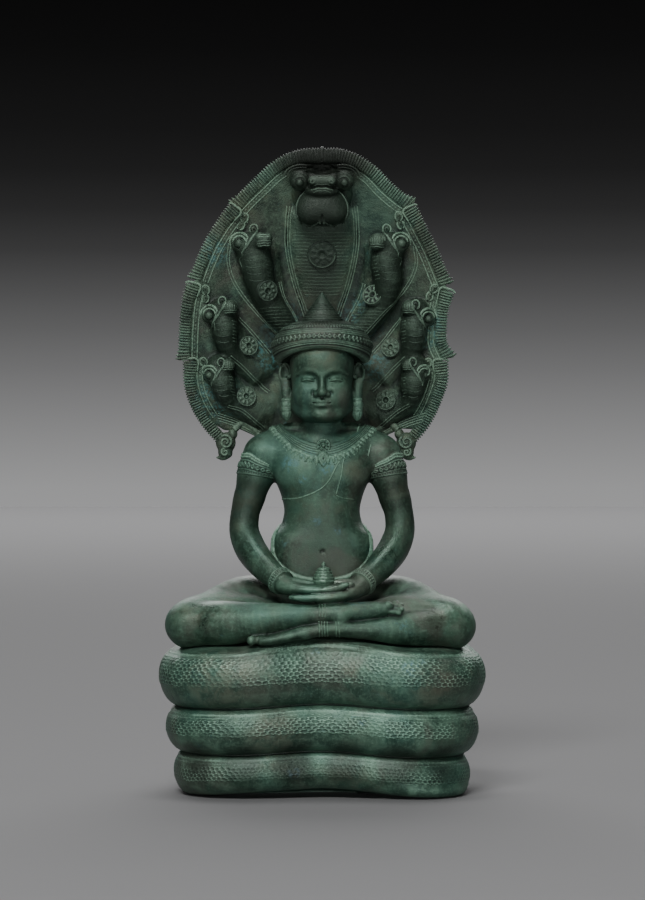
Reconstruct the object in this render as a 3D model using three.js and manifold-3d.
// Seated bronze figure on three serpent coils, sheltered by a seven-headed hood.
// Millimetres, +X to the viewer's right, +Y away from the viewer, +Z up.
import * as THREE from "three";
import { mergeVertices } from "three/addons/utils/BufferGeometryUtils.js";
import Module from "manifold-3d";

const wasm = await Module();
wasm.setup();

const TAU = Math.PI * 2;
const V = (x, y, z) => new THREE.Vector3(x, y, z);
const lerp = THREE.MathUtils.lerp;
const clamp01 = (t) => Math.min(1, Math.max(0, t));
const ramp = (a, b, t) => {
  const u = clamp01((t - a) / (b - a));
  return u * u * (3 - 2 * u);
};
const bell = (t, width) => Math.exp(-((t / width) ** 2));

// ---------------------------------------------------------------- helpers

// rows of [key, a, b, ...] read at any key, with limited slopes so no overshoot
function table(rows) {
  const n = rows.length;
  const slope = (k, c) => (rows[k + 1][c] - rows[k][c]) / (rows[k + 1][0] - rows[k][0]);
  const tangent = (k, c) => {
    if (k === 0) return slope(0, c);
    if (k === n - 1) return slope(n - 2, c);
    const a = slope(k - 1, c), b = slope(k, c);
    return a * b <= 0 ? 0 : (2 * a * b) / (a + b);
  };
  return (key) => {
    const t = Math.min(Math.max(key, rows[0][0]), rows[n - 1][0]);
    let k = 0;
    while (k < n - 2 && t > rows[k + 1][0]) k++;
    const h = rows[k + 1][0] - rows[k][0], u = (t - rows[k][0]) / h;
    return rows[0].slice(1).map((_, i) => {
      const c = i + 1, p = rows[k][c], q = rows[k + 1][c];
      const m = tangent(k, c) * h, l = tangent(k + 1, c) * h;
      return (
        (2 * u ** 3 - 3 * u ** 2 + 1) * p + (u ** 3 - 2 * u ** 2 + u) * m +
        (-2 * u ** 3 + 3 * u ** 2) * q + (u ** 3 - u ** 2) * l
      );
    });
  };
}

// closed skin through rings of points, with a fan to a tip at either end
function skin(rings, tips = []) {
  const n = rings[0].length, pos = [], idx = [];
  for (const r of rings) for (const p of r) pos.push(p.x, p.y, p.z);
  for (let i = 0; i + 1 < rings.length; i++)
    for (let j = 0; j < n; j++) {
      const a = i * n + j, b = i * n + ((j + 1) % n);
      idx.push(a, b, a + n, b, b + n, a + n);
    }
  [0, rings.length - 1].forEach((row, end) => {
    const tip = tips[end] ?? rings[row].reduce((s, p) => s.add(p), V(0, 0, 0)).divideScalar(n);
    const k = pos.length / 3;
    pos.push(tip.x, tip.y, tip.z);
    for (let j = 0; j < n; j++) {
      const a = row * n + j, b = row * n + ((j + 1) % n);
      idx.push(...(end ? [a, b, k] : [b, a, k]));
    }
  });
  return new THREE.BufferGeometry()
    .setAttribute("position", new THREE.Float32BufferAttribute(pos, 3))
    .setIndex(idx);
}

// a closed three.js geometry as a solid
function solid(geometry) {
  const g = geometry.clone();
  for (const name of ["normal", "uv"]) g.deleteAttribute(name);
  const m = mergeVertices(g, 1e-3);
  const p = m.attributes.position.array, t = [];
  const src = m.index.array;
  let volume = 0;
  for (let i = 0; i < src.length; i += 3) {
    const [a, b, c] = [src[i], src[i + 1], src[i + 2]];
    if (a === b || b === c || c === a) continue;
    t.push(a, b, c);
    const [A, B, C] = [a, b, c].map((k) => V(p[3 * k], p[3 * k + 1], p[3 * k + 2]));
    volume += A.dot(B.cross(C));
  }
  if (volume < 0) for (let i = 0; i < t.length; i += 3) [t[i], t[i + 1]] = [t[i + 1], t[i]];
  const mesh = new wasm.Mesh({
    numProp: 3,
    vertProperties: Float32Array.from(p),
    triVerts: Uint32Array.from(t),
  });
  mesh.merge();
  return new wasm.Manifold(mesh);
}
const join = (list) => list.reduce((a, b) => a.add(b));

// tapering limb through stations [x, y, z, halfAcross, halfHigh], rounded ends
function limb(stations, { sides = 10, rows = 2, up = V(0, 0, 1), ends = [1, 1] } = {}) {
  const n = stations.length - 1;
  const path = new THREE.CatmullRomCurve3(stations.map((s) => V(s[0], s[1], s[2])), false, "centripetal");
  const across = table(stations.map((s, i) => [i, s[3], s[4] ?? s[3]]));
  const ring = (c, T, a, h) => {
    const side = V().crossVectors(up, T).normalize();
    const top = V().crossVectors(T, side).normalize();
    return Array.from({ length: sides }, (_, j) => {
      const w = ((j + 0.5) / sides) * TAU;
      return c.clone().addScaledVector(side, a * Math.cos(w)).addScaledVector(top, h * Math.sin(w));
    });
  };
  const rings = [], tips = [];
  for (let i = 0; i <= n * rows; i++) {
    const t = i / (n * rows), c = path.getPoint(t), T = path.getTangent(t).normalize();
    const [a, h] = across(t * n);
    const end = i === 0 ? 0 : i === n * rows ? 1 : -1;
    const reach = end >= 0 ? ends[end] * Math.min(a, h) : 0, way = end ? 1 : -1;
    const cap = () => ring(c.clone().addScaledVector(T, way * reach * 0.66), T, a * 0.75, h * 0.75);
    if (end === 0 && reach) rings.push(cap());
    rings.push(ring(c, T, a, h));
    if (end === 1 && reach) rings.push(cap());
    if (end >= 0) tips[end] = c.clone().addScaledVector(T, way * reach);
  }
  return solid(skin(rings, tips));
}

// upright stack of superellipse rings from table rows [z, halfX, front, back, centreX, centreY, power]
function stack(rows, levels, sides) {
  const read = table(rows);
  return solid(
    skin(
      levels.map((z) => {
        const [a, front, back, cx, cy, power] = read(z);
        return Array.from({ length: sides }, (_, j) => {
          const w = ((j + 0.5) / sides) * TAU, c = Math.cos(w), s = Math.sin(w);
          const r = (Math.abs(c) ** power + Math.abs(s) ** power) ** (-1 / power);
          return V(cx + a * r * c, cy + (s < 0 ? front : back) * r * s, z);
        });
      }),
    ),
  );
}

// profile [radius, z] turned about an upright axis, squashed in depth
function turned(profile, sides, x, y, deep = 1) {
  const rings = profile.map(([r, z]) =>
    Array.from({ length: sides }, (_, j) => {
      const w = ((j + 0.5) / sides) * TAU;
      return V(x + r * Math.cos(w), y + deep * r * Math.sin(w), z);
    }),
  );
  return solid(skin(rings));
}

// ellipsoid at a place, turned about x, then y, then z (degrees)
function ball([x, y, z], [a, b, c], [w, h] = [7, 5], [rx, ry, rz] = [0, 0, 0]) {
  const g = new THREE.SphereGeometry(1, w, h).rotateX(Math.PI / 2).scale(a, b, c);
  g.rotateX((rx * Math.PI) / 180).rotateY((ry * Math.PI) / 180).rotateZ((rz * Math.PI) / 180);
  return solid(g.translate(x, y, z));
}

// fingers or toes lying side by side: lobed across the depth, from a root to rounded tips
function bundle(root, tip, wide, thick, lobes, lift = 0) {
  const ring = (t, size) => {
    const x = lerp(root[0], tip[0], t), y = lerp(root[1], tip[1], t), z = lerp(root[2], tip[2], t);
    const w = lerp(wide[0], wide[1], t), h = lerp(thick[0], thick[1], t) * size, points = [];
    for (let i = 0; i <= 2 * lobes; i++) {
      const u = i / lobes - 1, crown = i % 2 ? 1 : 0.45;
      points.push(V(x - Math.sign(tip[0] - root[0]) * 1.6 * (1 - crown) * (t === 1 ? 3 : 1), y + u * w * (size < 1 ? 0.92 : 1), z + h * crown - lift * Math.abs(u)));
    }
    for (const u of [0.8, 0, -0.8]) points.push(V(x, y + u * w, z - h * (1 - 0.2 * Math.abs(u))));
    return points;
  };
  return solid(skin([ring(0, 1), ring(0.88, 1), ring(1, 0.55)]));
}

// short band of radius r round the line from p to q
function band(p, q, r, sides = 6) {
  return limb([[...p, r, r], [...q, r, r]], { sides, rows: 1, up: V(0, -1, 0.15), ends: [0, 0] });
}

const both = (make) => [make(-1), make(1)];

// ---------------------------------------------------------------- coils

const COIL = {
  halfWidth: 147.3, front: 101.95, back: 95, power: 3, sides: 36,
  dent: 16, dentWidth: 55, arch: 4, archWidth: 60, flat: 137.5,
};
// each coil: [z, inset] at its lower seam, widest line and upper seam
const ROLLS = [
  [[0, 28], [21, 14.5], [36, 23]],
  [[36, 23], [59, 7], [77.5, 14.5]],
  [[77.5, 14.5], [107, 0], [137.5, 52]],
];

function coilRing(inset, z, grow) {
  const a = COIL.halfWidth - inset + grow;
  return Array.from({ length: COIL.sides }, (_, j) => {
    const w = (j / COIL.sides) * TAU, c = Math.cos(w), s = Math.sin(w);
    const r = (Math.abs(c) ** COIL.power + Math.abs(s) ** COIL.power) ** (-1 / COIL.power);
    const b = (s < 0 ? COIL.front : COIL.back) - inset + grow;
    const x = a * r * c, front = clamp01(-s) ** 2, outer = 1 - ramp(8, 30, z > 107 ? inset : 0);
    const y = b * r * s + COIL.dent * bell(x, COIL.dentWidth) * front;
    return V(x, y, z + COIL.arch * bell(x, COIL.archWidth) * front * outer);
  });
}

function coils(grow = 0) {
  const rings = [coilRing(52, -grow, grow)];
  ROLLS.forEach(([low, wide, high], k) => {
    const quarter = (end, steps, skipFirst) => {
      for (let i = skipFirst ? 1 : 0; i <= steps; i++) {
        const w = ((end === low ? steps - i : i) / steps) * (Math.PI / 2);
        const z = wide[0] + (end[0] - wide[0]) * Math.sin(w);
        const inset = wide[1] + (end[1] - wide[1]) * (1 - Math.cos(w));
        rings.push(coilRing(inset, z + (end === low && k === 0 && i === 0 ? -grow : grow * (z > 107 ? 1 : 0)), grow));
      }
    };
    quarter(low, 3, k > 0);
    quarter(high, k === 2 ? 4 : 3, true);
  });
  return solid(skin(rings));
}

// ---------------------------------------------------------------- figure

const SEAT = COIL.flat;

function torso() {
  const rows = [
    // z, half width, front, back, x, y, power
    [132, 48, 32, 30, 0, 4, 2.4],
    [150, 62, 40, 36, 0, 4, 2.4],
    [175, 56, 36, 34, 0, 4, 2.4],
    [200, 49, 31, 33, 0, 5, 2.3],
    [222, 46.5, 31, 33, 0, 6, 2.2],
    [233.6, 43, 29, 30, 0, 7, 2.2],
    [241, 36, 25.5, 27, 0, 7.5, 2.2],
    [250, 34.3, 24, 26, 0, 7.5, 2.2],
    [266, 37.5, 26, 27, 0, 7, 2.3],
    [281.5, 44, 30, 30, 0, 6, 2.4],
    [297, 51, 31, 31, 0, 6, 2.5],
    [309, 54, 28, 29, 0, 6, 2.5],
    [319, 48, 22, 24, 0, 6, 2.4],
    [326, 34, 18, 20, 0, 5, 2.2],
    [333, 20, 16, 17, 0, 4, 2],
  ];
  const levels = [132, 222, 233.6, 241, 250, 264, 281.5, 297, 309, 319, 333];
  return stack(rows, levels, 12);
}

function head() {
  const rows = [
    [331, 9, 17, 9, 0, -4, 2],
    [334, 15, 25, 14, 0, -4, 2.1],
    [338, 20, 30, 18, 0, -4, 2.2],
    [344, 24, 32.5, 23, 0, -4, 2.3],
    [352, 26.6, 33, 27, 0, -4, 2.3],
    [360, 28, 32.5, 30, 0, -4, 2.3],
    [371, 28.8, 31.5, 33, 0, -4, 2.3],
    [379, 29.2, 34, 34, 0, -4, 2.3],
    [392, 30, 35, 34, 0, -4, 2.2],
    [408, 27, 32, 31, 0, -4, 2.1],
  ];
  const skull = stack(rows, [331, 336, 346, 360, 371, 379, 390, 404], 12);
  const nose = limb(
    [[0, -35, 377, 2.6, 2.6], [0, -37.5, 368, 3, 3], [0, -40, 360.5, 5.4, 4]],
    { sides: 5, rows: 1, up: V(0, -1, 0) },
  );
  const features = [skull, nose];
  for (const s of [-1, 1]) {
    features.push(ball([s * 13, -32, 371], [6.6, 3.4, 2.6], [6, 4], [0, s * 4, s * 22]));
  }
  features.push(ball([0, -35, 350], [9, 3.6, 3.2], [6, 4]));
  features.push(limb([[0, 5, 316, 21, 19], [0, 0, 345, 18, 17]], { sides: 7, rows: 1, up: V(0, 1, 0), ends: [0, 0] }));
  // long-lobed ears with bud earrings
  for (const s of [-1, 1]) {
    features.push(
      limb([[s * 31, 2, 388, 3, 4.5], [s * 33.5, 1, 379, 3, 7], [s * 33, -1, 366, 2.5, 4], [s * 33.5, -2, 356, 2, 3]], { sides: 4, rows: 1, up: V(0, 1, 0), ends: [0.7, 0] }),
    );
    features.push(turned([[1.6, 361], [4.6, 355.5], [3.2, 348], [0.8, 344.5]], 5, s * 34.2, -3));
  }
  return join(features);
}

// diadem whose lower edge rises over the brow, and the ringed cone on top
function crown() {
  const sides = 16, deep = 0.93, cy = -3;
  const edge = (w) => 387 + 10 * clamp01(-Math.sin(w)) ** 1.5;
  const profile = [[26, 0], [41.8, 0], [45, 0.5], [42.5, 0.72], [33.4, 1], [16.5, 1.2]];
  const rings = profile.map(([r, k]) =>
    Array.from({ length: sides }, (_, j) => {
      const w = ((j + 0.5) / sides) * TAU;
      const z = k <= 1 ? lerp(edge(w), 418, k) : 418 + (k - 1) * 26;
      return V(r * Math.cos(w), cy + deep * r * Math.sin(w), z);
    }),
  );
  const tiers = [];
  for (let i = 0; i < 3; i++) {
    const z = 424 + i * 6.6, r = 16.8 - i * 4.1;
    tiers.push([r, z], [r + 0.2, z + 2.6]);
  }
  tiers.push([4.6, 443.5], [0.8, 449.3]);
  return join([solid(skin(rings)), turned([[14, 416], ...tiers], 8, 0, cy, 1)]);
}

function arm(s) {
  return limb(
    [
      [s * 56.5, 6, 306, 17, 17.5],
      [s * 61.5, 6, 291, 15.6, 16.5],
      [s * 66.5, 5, 266, 14.4, 14.8],
      [s * 70, 4, 247, 13, 13.4],
      [s * 70.6, 2, 233.6, 13.4, 14],
      [s * 65, -8, 221, 14, 14.5],
      [s * 55, -24, 207, 13.4, 13.6],
      [s * 38, -45, 192, 11.5, 11],
    ],
    { sides: 7, rows: 1, up: V(0, -1, 0.15) },
  );
}

function hands() {
  const upper = limb([[-38, -45, 192, 11, 9.5], [-22, -53, 188, 14, 7], [-2, -57, 185.5, 15, 5.6], [14, -58, 185.5, 13.5, 5]], { sides: 7, rows: 1, ends: [0, 0.6] });
  const lower = limb([[38, -45, 191, 11, 10], [30, -53, 184, 13.5, 8], [14, -59, 179.5, 15, 5.8], [0, -61, 178, 14, 5]], { sides: 7, rows: 1, ends: [0, 0.6] });
  return [
    upper, lower,
    bundle([8, -59, 186], [46, -56, 192], [14, 10.5], [5, 3.4], 4, 1.5),
    bundle([4, -61, 178], [-26, -60, 177.5], [14, 11], [4.8, 3.4], 4, 1.5),
    limb([[28, -46, 187, 4.5, 4.5], [12, -47, 192.5, 4, 3.6]], { sides: 4, rows: 1, ends: [0, 1] }),
  ];
}

const jar = () =>
  turned([[6, 186], [8.9, 190.5], [8.8, 195], [9.6, 197], [6.6, 201.5], [4.6, 205], [1.4, 207], [0.7, 210]], 7, 1.8, -55, 1);

function legs() {
  const thighs = both((s) =>
    limb([[s * 36, 10, 166, 31, 28], [s * 70, -6, 165, 30, 27.5], [s * 100, -24, 161, 27, 24.5], [s * 117, -34, 154.5, 24, 21.5]], { sides: 8, rows: 1 }),
  );
  const over = limb([[-113, -42, 153, 20.5, 20], [-88, -54, 154, 19.5, 19.5], [-63, -62, 156, 17, 17], [-33, -68, 160.5, 13, 12.2], [-4, -70, 162, 9, 8], [38, -66.5, 165.8, 10.3, 7], [60, -64, 167.5, 9, 5.4]], { sides: 7, rows: 1, ends: [1, 0] });
  const under = limb([[113, -42, 151, 20.5, 19], [88, -55, 150, 18.5, 16.5], [63, -63, 149, 16, 13.5], [25, -72, 149.4, 10, 7.6], [-8, -75, 147.6, 9.2, 6.6], [-30, -76, 144, 10, 6.2], [-48, -77, 141, 10, 5.6], [-60, -77, 139.5, 8, 4.8]], { sides: 7, rows: 1, ends: [1, 0] });
  const panel = limb([[-2.5, -58, 173, 10, 3], [-2.5, -74.5, 168, 10.5, 4], [-2.5, -81.5, 158, 11.5, 2.3], [-2.5, -84, 146, 12, 2.2], [-2.5, -84, 139, 12, 2]], { sides: 4, rows: 1, up: V(0, -1, 0.2), ends: [0, 0] });
  return [
    ...thighs, over, under, panel,
    bundle([50, -64.5, 167], [74, -63, 169], [9.5, 9], [5, 3.6], 5),
    bundle([-46, -76.5, 141.2], [-73, -75, 139], [8, 8.5], [4.4, 3], 5),
  ];
}

function ornaments() {
  const list = [];
  for (const s of [-1, 1]) {
    list.push(band([s * 59.5, 6, 298], [s * 63.5, 6, 283], 18.2));
    list.push(band([s * 49, -31.5, 201.5], [s * 42, -40, 195.5], 13.8));
  }
  // collar from one shoulder round the chest to the other
  const chest = new THREE.Vector3(0, 6, 300);
  const collar = [];
  for (let i = 0; i <= 7; i++) {
    const w = Math.PI * (i / 7), c = Math.cos(w), s = Math.sin(w);
    collar.push(V(-41 * c, 7 - 33.5 * s ** 0.8, 326.5 - 18 * s));
  }
  const rings = collar.map((p) => {
    const out = p.clone().sub(chest).normalize();
    const down = V(-p.x * 0.12, -4, -10).addScaledVector(out, -V(-p.x * 0.12, -4, -10).dot(out)).normalize();
    return [[-8, -4], [-7, 1.2], [8, 1.2], [10, -4]].map(([a, b]) => p.clone().addScaledVector(down, a).addScaledVector(out, b));
  });
  list.push(solid(skin(rings)));
  return list;
}

const figure = join([
  torso(), head(), crown(), ...both(arm), ...hands(), jar(), ...legs(), ...ornaments(),
]).subtract(coils(0.35));

// ---------------------------------------------------------------- hood

const HOOD = { foot: 58, lean: 46, top: 584, wing: 26, plate: 4.6, rim: 6.2 };
// middle surface of the hood: leans forward to the top and to either wing
function hoodY(x, z) {
  const rise = clamp01((z - 330) / (HOOD.top - 330));
  return HOOD.foot - HOOD.lean * rise ** 2 - HOOD.wing * (x / 130) ** 2 * ramp(300, 380, z);
}

// outer edge of the rim on each side: four ribbed lengths, each from its start to its flared end
const RIM = {
  "-1": [
    [[0, 578.5], [-22, 576], [-42, 564.5], [-63, 543], [-75, 531]],
    [[-79, 528], [-91, 508], [-106, 481], [-116, 461]],
    [[-118, 455], [-122, 436], [-124, 408], [-125.5, 394]],
    [[-120, 386], [-118, 373], [-111, 353], [-100, 331], [-89, 316]],
  ],
  1: [
    [[0, 578.5], [22, 576], [42, 565], [63, 546], [79, 533]],
    [[81, 524], [93, 503], [109, 470], [117, 457]],
    [[116.5, 449], [113, 428], [110, 410], [117, 396]],
    [[111, 386], [107, 371], [103, 353], [95, 335], [84, 319]],
  ],
};

function rims() {
  const list = [];
  for (const s of [-1, 1])
    RIM[s].forEach((points) => {
      const n = points.length - 1;
      list.push(
        limb(
          points.map(([x, z], i) => [x, hoodY(x, z) - 2.5, z, i === n ? 3.4 : HOOD.rim - (i === 0 ? 1.5 : 0), i === n ? 8 : 5.4]),
          { sides: 5, rows: 1, up: V(0, -1, 0), ends: [0, 0] },
        ),
      );
    });
  return list;
}

// slab between the rims, from the scrolls at the foot of the wings to the crest
function plate() {
  const edge = {};
  for (const s of [-1, 1])
    edge[s] = table(RIM[s].flat().map(([x, z]) => [z, Math.abs(x)]).sort((a, b) => a[0] - b[0]).filter((r, i, all) => !i || r[0] - all[i - 1][0] > 0.5));
  const across = 8, rings = [];
  for (let k = 0; k <= 7; k++) {
    const z = lerp(324, 576, k / 7);
    const half = (s) => Math.min(edge[s](z)[0] - 1, 34 + (z - 300) * 2.1) ;
    const line = (side) =>
      Array.from({ length: across + 1 }, (_, j) => {
        const u = (j / across) * 2 - 1, x = u * half(u < 0 ? -1 : 1);
        const neck = side < 0 ? 5 * bell(x, 26) * ramp(330, 420, z) * (1 - ramp(520, 560, z)) : 0;
        const zz = z + (k === 0 ? 14 * Math.abs(u) ** 1.4 * 0.9 : 0);
        return V(x, hoodY(x, z) + side * HOOD.plate - neck, Math.min(zz, 577));
      });
    rings.push([...line(-1), ...line(1).reverse()]);
  }
  return solid(skin(rings));
}

const trunk = () =>
  stack(
    [
      [128, 33, 17, 15, 0, 63, 2.4],
      [200, 33.5, 16.5, 15, 0, 63, 2.4],
      [280, 34, 16, 13, 0, 62, 2.5],
      [325, 38, 12, 9, 0, 59, 2.6],
      [362, 44, 6, 5, 0, 57, 2.8],
    ],
    [128, 280, 330, 362], 8,
  );

// the middle head looks straight out; it is broad, with two jowls under the snout
function middleHead() {
  const z = 546, y = hoodY(0, z);
  const parts = [
    limb([[0, y + 2, 500, 20, 8], [0, y - 10, 520, 24, 15], [0, y - 16, 538, 21, 17], [0, y - 20, 552, 17, 14]], { sides: 7, rows: 1, up: V(0, -1, 0), ends: [0, 1] }),
    ball([0, y - 34, 548], [13.5, 12, 7], [7, 4]),
  ];
  for (const s of [-1, 1]) {
    parts.push(ball([s * 10.5, y - 21, 524], [13.5, 13, 14.5], [6, 4]));
    parts.push(ball([s * 20.5, y - 17, 548.5], [7, 7, 6.5], [5, 4]));
    parts.push(limb([[s * 11, y - 20, 557, 2, 3], [s * 21, y - 17, 560, 2, 3.5], [s * 31, y - 9, 553, 2, 3]], { sides: 4, rows: 1, up: V(0, -1, 0), ends: [0, 0] }));
  }
  return join(parts);
}

// a side head: bulging throat bent over into a skull and snout turned to the middle, eyes, crest
function sideHead({ snout, eye, throat }) {
  const s = Math.sign(snout[0]), y = hoodY(eye[0], eye[1]) - 6;
  const [tx, tz] = throat, mid = lerp(snout[0], eye[0], 0.5);
  return join([
    limb(
      [
        [tx, hoodY(tx, tz) - 3, tz - 8, 11, 9],
        [tx, hoodY(tx, tz) - 13, tz + 12, 15.5, 14],
        [lerp(mid, eye[0], 0.35), y - 8, eye[1] - 6, 13, 13],
        [mid, y - 17, snout[1] + 1, 10.5, 11],
        [snout[0] + s * 4, y - 26, snout[1] + 1, 6, 7],
      ],
      { sides: 5, rows: 1, up: V(s, 0.1, 0.5), ends: [0, 0.8] },
    ),
    ball([eye[0] + s * 1.5, y - 11, eye[1] + 4], [5.6, 5.6, 5.6], [4, 3]),
    ball([mid + s * 2, y - 24, eye[1] + 8], [5, 5, 5], [4, 3]),
    limb([[eye[0] - s * 8, y - 15, eye[1] + 11, 2, 4], [eye[0] + s * 4, y - 8, eye[1] + 14, 2, 5], [eye[0] + s * 12, y, eye[1] + 4, 2, 5]], { sides: 3, rows: 1, up: V(0, -1, 0), ends: [0, 0] }),
  ]);
}

const SIDE_HEADS = [
  { snout: [-50.6, 497.6], eye: [-73, 496], throat: [-57, 455] },
  { snout: [-80.3, 441], eye: [-100, 433], throat: [-88, 398] },
  { snout: [-84, 386], eye: [-100, 375], throat: [-88, 350] },
  { snout: [48.7, 498.5], eye: [70, 495], throat: [55, 455] },
  { snout: [77.2, 439], eye: [95.5, 428], throat: [84, 396] },
  { snout: [75.8, 389], eye: [92.5, 376], throat: [80, 350] },
];

const ROUNDELS = [
  [0, 485, 12.8], [-48, 451, 8.5], [-66, 402, 8.5], [-68.5, 356, 8.5], [46.5, 448, 8.5], [62.9, 400, 8.5], [58.3, 352.5, 8.5],
];
function roundel([x, z, r]) {
  const y = hoodY(x, z) - HOOD.plate - 2.4 - (x === 0 ? 5 : 5 * bell(x, 26));
  const g = new THREE.CylinderGeometry(r, r * 0.85, 7, 7);
  return solid(g.translate(x, y, z));
}

// curled leaf at the foot of each wing, with its scroll arm back to the trunk
function scrolls(s) {
  const [foot, ring] = s < 0 ? [-93, -90] : [84.3, 84];
  const y = hoodY(ring, 318);
  return [
    limb([[s * 91, y, 326, 6, 4], [ring + s * 2, y - 1, 312, 9, 4.4], [foot, y - 2, 303.5, 5.5, 3.4]], { sides: 4, rows: 1, up: V(0, -1, 0), ends: [0, 0.8] }),
    limb([[ring - s * 2, y, 326, 9, 4], [s * 66, hoodY(66, 334) - 1, 340, 12, 4.4], [s * 40, hoodY(40, 334) - 1, 332, 12, 4.6]], { sides: 4, rows: 1, up: V(0, -1, 0), ends: [0, 0] }),
  ];
}

const crest = () =>
  limb([[-27, hoodY(27, 570) - 7, 568, 7, 5], [0, hoodY(0, 578) - 11, 575.5, 8.2, 7], [27, hoodY(27, 570) - 7, 568, 7, 5]], { sides: 5, rows: 1, up: V(0, -1, 0), ends: [0, 0] });

const hood = join([
  plate(), trunk(), ...rims(), middleHead(), ...SIDE_HEADS.map(sideHead), ...ROUNDELS.map(roundel), ...scrolls(-1), ...scrolls(1), crest(),
]).subtract(coils(0.35));

// ---------------------------------------------------------------- scene

function mesh(name, body, colour) {
  const m = body.getMesh(), n = m.numProp, p = new Float32Array(m.numVert * 3);
  for (let i = 0; i < m.numVert; i++) p.set(m.vertProperties.subarray(i * n, i * n + 3), i * 3);
  const g = new THREE.BufferGeometry()
    .setAttribute("position", new THREE.BufferAttribute(p, 3))
    .setIndex(new THREE.BufferAttribute(m.triVerts, 1));
  const out = new THREE.Mesh(g, new THREE.MeshStandardMaterial({ color: colour, metalness: 0.6, roughness: 0.45 }));
  out.name = name;
  return out;
}

const group = new THREE.Group();
group.add(mesh("buddha", figure, 0x3c5a4a));
group.add(mesh("naga_hood", hood, 0x35503f));
group.add(mesh("naga_coils", coils(), 0x4a6e5c));
export default group;
